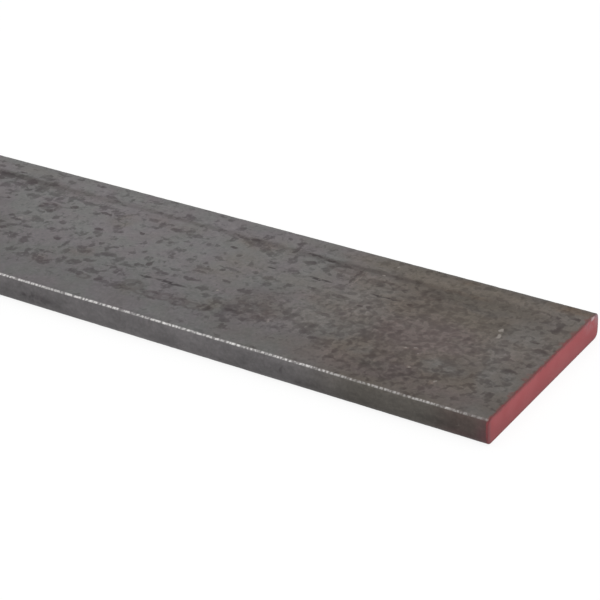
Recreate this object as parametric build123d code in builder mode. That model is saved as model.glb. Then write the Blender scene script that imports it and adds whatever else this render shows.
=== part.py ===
from build123d import *
import os

# Hot-rolled steel flat bar, cut square to a stock length.
#
# The bar is rolled in one piece and lies on one of its wide faces: its length runs along X, its width
# along Y and its thickness along Z. The origin is on the underside, at the middle of length and width.
# Units are millimetres.

# ---- Driving dimensions ----
bar_length = 914.4      # 36 in, a length that such bars are sold in
bar_width = 50.8        # 2 in, over the crowned edges
bar_thickness = 6.35    # 1/4 in, between the two wide faces
corner_radius = 1.6     # where the rolls round a wide face into a narrow edge
edge_crown = 0.2        # how far each narrow edge bulges beyond its two corners
cut_rim_radius = 0.3    # round left along the rim of each cut end
most_of_thickness = 0.45  # share of the thickness that one rolled corner may take up
most_of_corner = 0.5      # share of a rolled corner's radius that the cut rim may take up

# ---- Sizes worked out from them ----
half_width = bar_width / 2
half_thickness = bar_thickness / 2
flat_half_width = half_width - edge_crown
corner_round = min(corner_radius, most_of_thickness * bar_thickness)
rim_round = min(cut_rim_radius, most_of_corner * corner_round)

# Rolled section, seen along the bar: two flat wide faces, two crowned narrow edges, four round corners
with BuildSketch(Plane.YZ) as rolled_section:
    with BuildLine():
        Line((-flat_half_width, 0), (flat_half_width, 0))
        ThreePointArc(
            (flat_half_width, 0), (half_width, half_thickness), (flat_half_width, bar_thickness)
        )
        Line((flat_half_width, bar_thickness), (-flat_half_width, bar_thickness))
        ThreePointArc(
            (-flat_half_width, bar_thickness), (-half_width, half_thickness), (-flat_half_width, 0)
        )
    make_face()
    fillet(rolled_section.vertices(), radius=corner_round)

# The bar: the section run along X from the middle of its length, then the rim of both cuts rounded
with BuildPart() as flat_bar:
    extrude(rolled_section.sketch, amount=bar_length / 2, both=True)
    cut_rims = flat_bar.faces().filter_by(Axis.X).edges()
    fillet(cut_rims, radius=rim_round)
flat_bar.part.label = "flat_bar"

os.makedirs("parts", exist_ok=True)
export_step(flat_bar.part, "parts/flat_bar.step")
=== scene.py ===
"""Looks of the hot-rolled steel flat bar: mill scale, worn arrises and a painted end, in a plain studio.

Places are in metres in the row frame: +X towards the painted end, +Y across the width, +Z up, with the
origin on the underside. Sizes on the bar are written in millimetres, as a number times MM. Patterns are
worked out in millimetres, by the same functions for the relief of the mesh and for the colours on it.
"""
import math
from functools import partialmethod

import bpy
import numpy as np
from mathutils import Matrix, Vector


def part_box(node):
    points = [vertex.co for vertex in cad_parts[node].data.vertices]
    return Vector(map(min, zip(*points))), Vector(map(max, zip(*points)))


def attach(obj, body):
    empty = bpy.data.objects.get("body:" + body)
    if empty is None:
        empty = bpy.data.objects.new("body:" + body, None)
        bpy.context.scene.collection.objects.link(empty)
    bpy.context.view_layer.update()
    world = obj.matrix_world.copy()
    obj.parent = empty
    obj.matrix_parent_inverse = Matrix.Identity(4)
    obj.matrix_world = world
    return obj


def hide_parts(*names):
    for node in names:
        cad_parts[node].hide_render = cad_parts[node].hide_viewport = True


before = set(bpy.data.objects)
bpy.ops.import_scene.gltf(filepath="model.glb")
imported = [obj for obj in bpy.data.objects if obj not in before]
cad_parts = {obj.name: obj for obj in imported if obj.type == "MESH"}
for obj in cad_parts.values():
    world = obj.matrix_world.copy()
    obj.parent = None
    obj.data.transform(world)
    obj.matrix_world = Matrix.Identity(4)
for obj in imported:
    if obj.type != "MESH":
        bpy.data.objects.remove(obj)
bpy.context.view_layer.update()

MM = 0.001
NODE = "flat_bar"

# ---- The bar's size, as its CAD node has it ----
_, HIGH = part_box(NODE)
HALF_LENGTH = HIGH.x
HALF_WIDTH = HIGH.y
THICKNESS = HIGH.z
CORNER_RADIUS = 1.6 * MM
EDGE_CROWN = 0.2 * MM
RIM_RADIUS = 0.3 * MM

# ---- How finely its mesh is divided ----
WIDE_FACE_STEPS = 56
CORNER_STEPS = 5
CROWN_STEPS = 4
RIM_STEPS = 3
ROUNDING = 1e-9  # slack where two angles are compared
FINE_STEP = 0.5 * MM  # between rings near the painted end
COARSE_STEP = 2.4 * MM  # between rings on the rest of the bar
FINE_STRETCH = 185 * MM  # length that has the fine rings
STEP_GROWTH = 1.04  # from each coarser step to the next

# ---- The bake's map: the unrolled sides cut in strips, and the two ends beside them ----
STRIPS = 3
MAP_GAP = 1.5 * MM
END_MAP_SCALE = 2.0

# ---- The viewpoint, told from the near lower corner of the painted end ----
VIEW_AZIMUTH = math.radians(33.69)
VIEW_ELEVATION = math.radians(29.26)
VIEW_ROLL = math.radians(-2.25)
VIEW_DISTANCE = 427.6 * MM
MIDDLE_RIGHT = -37.59 * MM
MIDDLE_UP = 29.62 * MM
LENS_MM = 127.88
SENSOR_MM = 36


def srgb(red, green, blue):
    """A colour told as a screen shows it, from 0 to 255, in Blender's linear numbers."""
    def linear(level):
        level /= 255
        return level / 12.92 if level <= 0.04045 else ((level + 0.055) / 1.055) ** 2.4
    return (linear(red), linear(green), linear(blue))


def new_object(name, data):
    """An object of the scene with this mesh, lamp or camera."""
    made = bpy.data.objects.new(name, data)
    bpy.context.scene.collection.objects.link(made)
    return made


# ======== mesh of the bar

def edge_profile():
    """Places and outward normals down the far narrow edge: corner, crown, corner.

    The outline is told by the angle of its normal. The crown is one arc over the whole edge, and each
    corner arc touches it and a wide face without a step.
    """
    half = THICKNESS / 2
    crown_radius = (half**2 + EDGE_CROWN**2) / (2 * EDGE_CROWN)
    crown_centre = np.array([HALF_WIDTH - crown_radius, half])
    corner_height = half - CORNER_RADIUS
    reach = crown_radius - CORNER_RADIUS
    meeting = math.asin(corner_height / reach)
    corner_out = crown_centre[0] + reach * math.cos(meeting)
    corner = np.linspace(math.pi / 2, meeting, CORNER_STEPS + 1)
    crown = np.linspace(meeting, -meeting, CROWN_STEPS + 1)[1:-1]
    angles = np.concatenate([corner, crown, -corner[::-1]])
    normals = np.stack([np.cos(angles), np.sin(angles)], 1)
    corner_centres = np.stack([np.full_like(angles, corner_out), half + np.sign(angles) * corner_height], 1)
    on_crown = np.abs(angles) < meeting - ROUNDING
    on_corner = corner_centres + CORNER_RADIUS * normals
    places = np.where(on_crown[:, None], crown_centre + crown_radius * normals, on_corner)
    return places, normals


def section():
    """The section as a closed ring from the near upper corner over the top, with its outward normals."""
    edge, edge_normals = edge_profile()
    mirror = np.array([-1, 1])
    across = np.linspace(-edge[0, 0], edge[0, 0], WIDE_FACE_STEPS + 1)[1:-1]
    up = np.tile([0.0, 1.0], (len(across), 1))
    top = np.stack([across, np.full_like(across, THICKNESS)], 1)
    under = np.stack([across[::-1], np.zeros_like(across)], 1)
    places = np.concatenate([top, edge, under, (edge * mirror)[::-1]])
    normals = np.concatenate([up, edge_normals, -up, (edge_normals * mirror)[::-1]])
    return np.roll(places, 1, axis=0), np.roll(normals, 1, axis=0)


def stations():
    """Depth behind the painted end, and inset of the section, for each ring of the mesh."""
    turn = np.linspace(math.pi / 2, 0, RIM_STEPS + 1)
    rim = [(RIM_RADIUS * (1 - math.sin(a)), RIM_RADIUS * (1 - math.cos(a))) for a in turn]
    depths = [RIM_RADIUS]
    step = FINE_STEP
    last = 2 * HALF_LENGTH - RIM_RADIUS
    while depths[-1] + 1.5 * step < last:
        depths.append(depths[-1] + step)
        if depths[-1] > FINE_STRETCH:
            step = min(step * STEP_GROWTH, COARSE_STEP)
    body = [(depth, 0.0) for depth in depths[1:]]
    far_rim = [(2 * HALF_LENGTH - depth, inset) for depth, inset in reversed(rim)]
    return rim + body + far_rim


def end_grid(ring):
    """Rows of places that fill one cut end, spread evenly between the four sides of its outline."""
    n, m = WIDE_FACE_STEPS, len(ring) // 2 - WIDE_FACE_STEPS
    closed = np.concatenate([ring, ring[:1]])
    top, far = closed[:n + 1], closed[n:n + m + 1]
    under, near = closed[n + m:2 * n + m + 1][::-1], closed[2 * n + m:][::-1]
    s = np.linspace(0, 1, n + 1)[None, :, None]
    t = np.linspace(0, 1, m + 1)[:, None, None]
    between_wide = (1 - t) * top[None] + t * under[None]
    between_narrow = (1 - s) * near[:, None] + s * far[:, None]
    between_corners = (1 - t) * ((1 - s) * top[0] + s * top[-1]) + t * ((1 - s) * under[0] + s * under[-1])
    return between_wide + between_narrow - between_corners


class BarMesh:
    """The closed skin of the bar, all quads: rings along its length and a grid over each cut end."""

    def __init__(self):
        outline, normals = section()
        self.around = len(outline)
        self.rings = stations()
        self.places = []
        self.faces = []
        self.maps = []
        for depth, inset in self.rings:
            self.add_ring(HALF_LENGTH - depth, outline - inset * normals)
        self.join_rings(outline)
        self.close_end(0, facing=1)
        self.close_end(len(self.rings) - 1, facing=-1)

    def add_ring(self, x, ring):
        self.places += [(x, y, z) for y, z in ring]

    def join_rings(self, outline):
        """Faces between the rings, and their places on the map, cut open where the near edge starts."""
        cut = self.around - (self.around // 2 - WIDE_FACE_STEPS)
        steps = np.linalg.norm(np.roll(outline, -1, axis=0) - outline, axis=1)
        girth = np.concatenate([[0], np.cumsum(np.roll(steps, -cut))])
        strip_length = 2 * HALF_LENGTH / STRIPS
        self.map_side = STRIPS * (girth[-1] + MAP_GAP) + MAP_GAP
        self.map_ends = strip_length + 3 * MAP_GAP
        for i in range(len(self.rings) - 1):
            depths = self.rings[i][0], self.rings[i + 1][0]
            strip = min(int(sum(depths) / 2 / strip_length), STRIPS - 1)
            u = [MAP_GAP + depth - strip * strip_length for depth in depths]
            base = MAP_GAP + strip * (girth[-1] + MAP_GAP)
            a, b = i * self.around, (i + 1) * self.around
            for k in range(self.around):
                j, after = (k + cut) % self.around, (k + 1 + cut) % self.around
                self.faces.append((a + j, a + after, b + after, b + j))
                v = base + girth[k], base + girth[k + 1]
                self.maps.append(((u[0], v[0]), (u[0], v[1]), (u[1], v[1]), (u[1], v[0])))

    def close_end(self, ring_index, facing):
        """Fills the first or last ring, and lays it on the map beside the strips."""
        start = ring_index * self.around
        x = self.places[start][0]
        ring = np.array(self.places[start:start + self.around])[:, 1:]
        grid = end_grid(ring)
        rows, columns = grid.shape[0] - 1, grid.shape[1] - 1
        first = len(self.places)
        self.places += [(x, y, z) for y, z in grid[1:-1, 1:-1].reshape(-1, 2)]

        def vertex(row, column):
            if row == 0:
                return start + column
            if column == columns:
                return start + columns + row
            if row == rows:
                return start + 2 * columns + rows - column
            if column == 0:
                return start + self.around - row
            return first + (row - 1) * (columns - 1) + column - 1

        side = 0 if facing > 0 else 1
        length = END_MAP_SCALE * 2 * HALF_WIDTH
        for row in range(rows):
            for column in range(columns):
                corners = [(row, column), (row + 1, column), (row + 1, column + 1), (row, column + 1)]
                corners = corners if facing > 0 else corners[::-1]
                self.faces.append(tuple(vertex(*corner) for corner in corners))
                self.maps.append(tuple(self.end_map(*grid[corner], side, length) for corner in corners))

    def end_map(self, y, z, side, length):
        u = self.map_ends + END_MAP_SCALE * z
        v = MAP_GAP + side * (length + MAP_GAP) + END_MAP_SCALE * (y + HALF_WIDTH)
        return (u, v)

    def build(self, name):
        mesh = bpy.data.meshes.new(name)
        mesh.from_pydata(self.places, [], self.faces)
        layer = mesh.uv_layers.new(name="OFBake")
        layer.uv.foreach_set("vector", (np.array(self.maps, np.float32) / self.map_side).ravel())
        mesh.shade_smooth()
        return new_object(name, mesh)


# ======== patterns, in millimetres

NOISE_SHIFT = (31.7, 17.3, 23.9)  # from the noise of one seed to that of the next
CELL_SHIFT = (13.1, 29.7, 19.3)  # and from the cells of one seed to those of the next


class Nodes:
    """Adds nodes to the tree of a material, a world or a geometry modifier, and hands back their outputs."""

    def __init__(self, tree):
        self.tree = tree

    def add(self, kind, inputs=None, output=0, **settings):
        node = self.tree.nodes.new(kind)
        for name, value in settings.items():
            setattr(node, name, value)
        for key, value in (inputs or {}).items():
            self.feed(node.inputs[key], value)
        return node.outputs[output]

    def feed(self, socket, value):
        if isinstance(value, bpy.types.NodeSocket):
            self.tree.links.new(value, socket)
        else:
            socket.default_value = value

    def show(self, shader, kind="ShaderNodeOutputMaterial"):
        """Ends the tree of a material, or of a world, with its surface."""
        self.feed(self.tree.nodes.new(kind).inputs["Surface"], shader)

    def math(self, operation, *values):
        return self.add("ShaderNodeMath", dict(enumerate(values)), operation=operation)

    def chain(self, operation, *values):
        """One operation on the first two numbers, then on its result and the next number, and so on."""
        result = values[0]
        for value in values[1:]:
            result = self.math(operation, result, value)
        return result

    # The sum, product and so on of any count of numbers
    total = partialmethod(chain, "ADD")
    product = partialmethod(chain, "MULTIPLY")
    largest = partialmethod(chain, "MAXIMUM")
    smallest = partialmethod(chain, "MINIMUM")
    minus = partialmethod(math, "SUBTRACT")

    def apart(self, first, second):
        return self.math("ABSOLUTE", self.minus(first, second))

    def vector(self, operation, *values, output=0):
        inputs = dict(enumerate(values))
        return self.add("ShaderNodeVectorMath", inputs, output=output, operation=operation)

    def scaled(self, vector, factor):
        return self.add("ShaderNodeVectorMath", {0: vector, "Scale": factor}, operation="SCALE")

    def parts(self, vector):
        return self.add("ShaderNodeSeparateXYZ", {0: vector}).node.outputs

    def rise(self, value, start, end, low=0.0, high=1.0):
        """A soft step: low where value is at start or before it, high where it is at end or past it.

        It never leaves its two levels, so it isn't clamped, which would take room on Cycles' stack.
        """
        inputs = {0: value, 1: start, 2: end, 3: low, 4: high}
        return self.add("ShaderNodeMapRange", inputs, interpolation_type="SMOOTHSTEP", clamp=False)

    def mix(self, factor, first, second):
        """A colour between two, kept as a vector, because each change of kind takes room on that stack."""
        return self.add("ShaderNodeMix", {0: factor, 4: first, 5: second}, output=1, data_type="VECTOR")

    def between(self, factor, first, second):
        """A number between two."""
        return self.add("ShaderNodeMix", {0: factor, 2: first, 3: second})

    def noise(self, place, size, seed=0, detail=2.0, roughness=0.5, output=0, stretch=None):
        """Soft noise about 0.5 with patches of about this size, longer along axes where stretch is small."""
        if stretch:
            place = self.vector("MULTIPLY", place, stretch)
        shifted = self.vector("ADD", place, tuple(seed * shift for shift in NOISE_SHIFT))
        inputs = {"Vector": shifted, "Scale": 1 / size, "Detail": detail, "Roughness": roughness}
        return self.add("ShaderNodeTexNoise", inputs, output=output)

    def swing(self, noise, reach):
        """Noise that goes from 0 to 1 as a number that goes as far below 0 as above it."""
        return self.math("MULTIPLY_ADD", noise, reach, -reach / 2)

    def wandered(self, place, size, reach, seed=0, detail=1.0):
        """The place, pushed about by noise by up to some reach along each axis."""
        drift = self.noise(place, size, seed=seed, detail=detail, output="Color")
        centred = self.vector("SUBTRACT", drift, (0.5, 0.5, 0.5))
        return self.vector("MULTIPLY_ADD", centred, tuple(2 * r for r in reach), place)

    def cells(self, place, spacing, seed=0):
        """Distance from the middle of a scattered cell in millimetres, and a random number of that cell."""
        shifted = self.vector("ADD", place, tuple(seed * shift for shift in CELL_SHIFT))
        distance = self.add("ShaderNodeTexVoronoi", {"Vector": shifted, "Scale": 1 / spacing})
        chance = distance.node.outputs["Color"]
        return self.product(distance, spacing), self.parts(chance)[0]

    def grouped(self, name, place, make):
        """A number worked out from a place in a node group of its own, which is quicker to build."""
        group = bpy.data.node_groups.new(name, self.tree.bl_idname)
        group.interface.new_socket("Place", in_out="INPUT", socket_type="NodeSocketVector")
        group.interface.new_socket("Value", in_out="OUTPUT", socket_type="NodeSocketFloat")
        inside = Nodes(group)
        result = make(inside, group.nodes.new("NodeGroupInput").outputs[0])
        inside.feed(group.nodes.new("NodeGroupOutput").inputs[0], result)
        kind = "ShaderNodeGroup" if self.tree.bl_idname == "ShaderNodeTree" else "GeometryNodeGroup"
        return self.add(kind, {0: place}, node_tree=group)


def emptied(owner):
    """Nodes for the tree of a material or of a world, without the ones that Blender gives it."""
    owner.use_nodes = True
    owner.node_tree.nodes.clear()
    return Nodes(owner.node_tree)


# ======== marks on the bar, in millimetres

SEAM_AT = 8.3  # from the far edge
SEAM_REACH = 4  # of its dark places, across the bar
SEAM_WIDTHS = (1.0, 2.4)  # where it is narrowest and where it is widest
SOFTEST_AT = 22  # behind the painted end, where the brown scale is smoothest
OVAL_DEPTH = 2.5  # how far above and below the upper face the ovals of the lists reach
FAR_AWAY = 9.0  # from an oval, told in its reaches: more than anything drawn about it
GROUPED = 30  # ovals to a node group

# Where something begins and where it is complete: behind the painted end
PAST_LISTS = (150, 220)
SEAM_GROWS = (22, 52)
SIDE_OLIVE_FROM = (52, 28)
SIDE_BROWN_FROM = (16, 6)
# how dark the painted shade leaves the bottom of the narrow edges, along the bar
SIDE_BRIGHT_FROM = (55, 80)
SIDE_BRIGHT_TO = (112, 100)
SIDE_SPRAYED = (4.0, 0.2)
SIDE_DRIFTED = (16, 2)
FAR_EDGE_DARKER = (60, 38)
# where the bare steel of the near arris, and so its highlight, grows stronger: partly wear, partly painted
# highlight
ARRIS_BRIGHT_FROM = (30, 48)
ARRIS_BEGINS = (2, 9)
PAINTED_END = (20, 10)
# from the far edge
SOFTENED_TO = (40, 34)
# where the painted shade towards the near edge begins and where it is complete
NEAR_PAINTED_SHADE_FROM = (20, 46)
FAR_EDGE_TO = (4.5, 1.7)
RUN_PAINT_FROM = (1, 6)
PAINT_LIGHT_TO = (49, 36)
PAINT_RUBBED = (9, 1)
# and above the upper face
UPPER_HALF = (-4.0, -1.0)
# painted shade: the narrow edges darker towards their bottom
SIDE_SHADED_BELOW = (-5.2, -0.8)
SPRAYED_LOWER = (-1.0, -4.0)
DRIFTED_LOWEST = (-3.5, -5.0)
# painted shade: the paint darker towards the bottom of the end
PAINT_SHADED_BELOW = (-6.2, -1.0)
RUBBED_HIGH = (-4.0, -0.8)

# Ovals on the upper wide face: (behind the painted end, from the far edge, reach along, reach across),
# with how much as a fifth number in the lists of soft spots
CROWDED = (  # where the dark blotches crowd, and how much
    (150, 12, 22, 6, 0.7), (118, 12, 24, 3, 0.25), (82, 10, 12, 3.5, 0.45), (64, 12, 10, 4, 0.45),
    (96, 40.5, 30, 3, 0.3), (112, 31, 20, 5, 0.3), (62, 36, 13, 8, 0.85), (50, 28, 14, 18, 0.7),
    (51, 12, 13, 4, 0.4), (68, 4.5, 8, 3, 0.3), (28, 26, 26, 24, 1.2), (7, 26, 9, 22, 0.35),
    (170, 27, 14, 20, 0.25), (26, 5, 34, 5, 0.6), (26, 46, 26, 5, 0.4), (41, 43, 10, 5, 0.5),
    (69, 37, 9, 8, 0.8), (6, 12, 6, 9, 0.3), (24, 44, 14, 6, 0.5), (8, 44, 8, 5, 0.3),
)
CLEARED = (  # and where they stay away
    (84, 16, 8, 6, 0.5), (80, 27, 10, 5, 0.3), (128, 47, 75, 3.6, 1.5), (58, 47, 12, 3.2, 0.8),
    (160, 4, 26, 3, 0.3), (105, 22, 26, 12, 0.35), (120, 18, 7, 4, 0.4), (145, 42, 20, 5, 0.6),
    (112, 10, 14, 2, 0.3), (150, 17, 14, 5, 0.55), (148, 22, 12, 4, 0.35), (100, 4, 12, 2.5, 0.35),
    (84, 4, 8, 2.5, 0.25),
)
BROWNED = (  # where the scale has browned
    (12, 25, 80, 60, 0.8), (30, 13, 26, 12, 0.75), (28, 42, 28, 14, 0.45), (42, 3, 40, 6, 0.25),
)
REDDENED = (  # where it turns to purple
    (142, 9, 22, 4, 0.3), (104, 11, 14, 5, 0.4), (66, 35, 9, 8, 0.8), (80, 10, 10, 3, 0.5),
    (84, 26, 5, 3, 0.6), (81, 40, 8, 3, 0.4), (58, 24, 5, 4, 0.5), (26, 26, 13, 9, 1.2),
    (30, 32, 12, 8, 1.2), (27, 42, 11, 6, 1.2), (38, 45, 16, 5, 0.8), (12, 46, 14, 4, 0.9),
    (36, 27, 5, 5, 0.9), (28, 45, 12, 4, 0.9), (18, 29, 6, 5, 0.6), (8, 27, 4, 3, 0.6),
    (116, 32, 5, 3, 0.6), (122, 40, 4, 3, 0.7),
)
GREYED = (  # where it stays a cool grey-green
    (145, 34, 14, 10, 0.8), (152, 4, 12, 3, 0.7), (120, 36, 12, 5, 0.4), (80, 18, 10, 9, 0.5),
    (52, 34, 8, 8, 0.9), (45, 35, 8, 6, 0.9), (36, 39, 4, 3, 0.6), (80, 26, 10, 6, 0.8),
    (46, 22, 9, 8, 0.7), (44, 14, 9, 5, 0.7), (60, 44, 10, 3, 0.4), (31, 42.5, 4, 2.5, 0.4),
    (18.5, 37, 6, 5, 0.9), (20, 12, 8, 2.5, 0.5), (9, 17, 6, 8, 0.9), (10, 28, 5, 6, 0.7),
    (6, 36, 7, 9, 0.9),
)
RUSTED = (  # and where it turns to olive
    (36, 4, 36, 5, 0.9), (24, 9.5, 20, 4, 0.8), (21, 17, 12, 6, 0.8), (50, 12, 14, 8, 0.35),
    (80, 20, 10, 7, 0.3), (80, 10, 14, 6, 0.35), (74, 39, 4, 5, 0.5), (70, 23, 3, 3, 0.5),
    (117, 15, 6, 5, 0.5), (95, 42, 5, 3, 0.5), (9, 14, 6, 6, 0.35), (32, 43, 5, 4, 0.5),
)
ORANGE = (  # to rust
    (5.5, 2.2, 7, 3.4, 1.2), (28, 7.6, 12, 1.2, 0.4), (30, 2.5, 5, 1.6, 0.4),
)
TONED = (  # where the scale is lighter, or darker when the amount is negative
    (24, 9.5, 18, 5, -0.27), (67, 4.5, 9, 4, -0.08), (67, 28, 10, 8, -0.15), (150, 29, 20, 9, -0.17),
    (150, 9, 18, 5, -0.16), (150, 20, 14, 4, -0.12), (8, 12, 9, 6, -0.12), (58, 10.6, 7, 1.8, -0.16),
    (44, 9.4, 10, 2.2, -0.09), (100, 4, 14, 3, -0.04), (84, 4, 8, 3, -0.11), (52, 32, 9, 4.5, 0.16),
    (22, 32, 9, 5, 0.16), (22, 38, 9, 4, 0.08), (32, 43, 5, 3, -0.14), (24, 43, 6, 4, -0.1),
    (67, 9.5, 9, 3, -0.07), (148, 14, 16, 4, -0.06), (100, 14, 14, 4, -0.05), (8, 43, 8, 3, 0.04),
    (47.3, 12.6, 2.8, 1.8, -0.13), (40, 12, 2.4, 1.8, -0.07), (24, 11.6, 3, 2, -0.14),
    (17.5, 12.4, 3, 2, -0.14), (12, 43, 5, 4, 0.08), (35, 37, 5, 4, 0.12), (41, 42, 7, 6, 0.12),
    (56, 37, 6, 4, 0.13), (46, 24, 7, 8, 0.07), (48, 11, 9, 2.5, 0.08), (12, 6, 6, 3, 0.06),
    (24, 14, 5, 4, -0.06), (8, 25, 6, 5, 0.06), (27, 45, 6, 4, -0.07), (31, 35, 6, 3, 0.05),
    (9, 17, 5, 5, -0.08), (8, 28, 5, 4, 0.11), (32, 16, 6, 4, -0.05), (16, 15, 6, 4, -0.05),
    (70, 41, 6, 4, -0.07), (73, 18, 6, 6, -0.05), (90, 33, 6, 4, -0.05), (113, 43, 8, 3, -0.05),
    (127, 43, 8, 3, -0.05), (40, 43, 6, 4, 0.05), (6, 3, 4, 3, -0.05), (45, 24, 9, 7, 0.1),
    (54, 35, 5, 4, 0.07), (42, 39, 6, 3, 0.08), (33, 13, 8, 7, -0.13), (14.5, 17, 6, 4, -0.16),
    (12, 29, 5, 4, 0.12), (70, 37, 6, 6, -0.11), (30, 46.5, 6, 2.5, -0.1), (89, 17, 6, 8, -0.05),
    (48, 5, 14, 4, -0.04), (8, 40, 8, 7, 0.1), (38, 38, 6, 4, 0.04), (44, 43, 9, 6, 0.04),
    (54, 31, 6, 10, 0.04), (14, 42, 10, 8, 0.04), (58, 11, 5, 3, 0.05), (72, 11, 6, 6, -0.05),
    (18, 15, 14, 3, -0.03),
)
SEAM_DARK = (  # where the seam is darkest: (behind the painted end, reach along, how much)
    (155, 18, 0.3), (137, 9, 0.15), (106, 14, 0.1), (82, 8, 0.2), (64, 8, 0.4), (54, 7, 0.35),
    (43, 12, 0.42),
)
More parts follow.
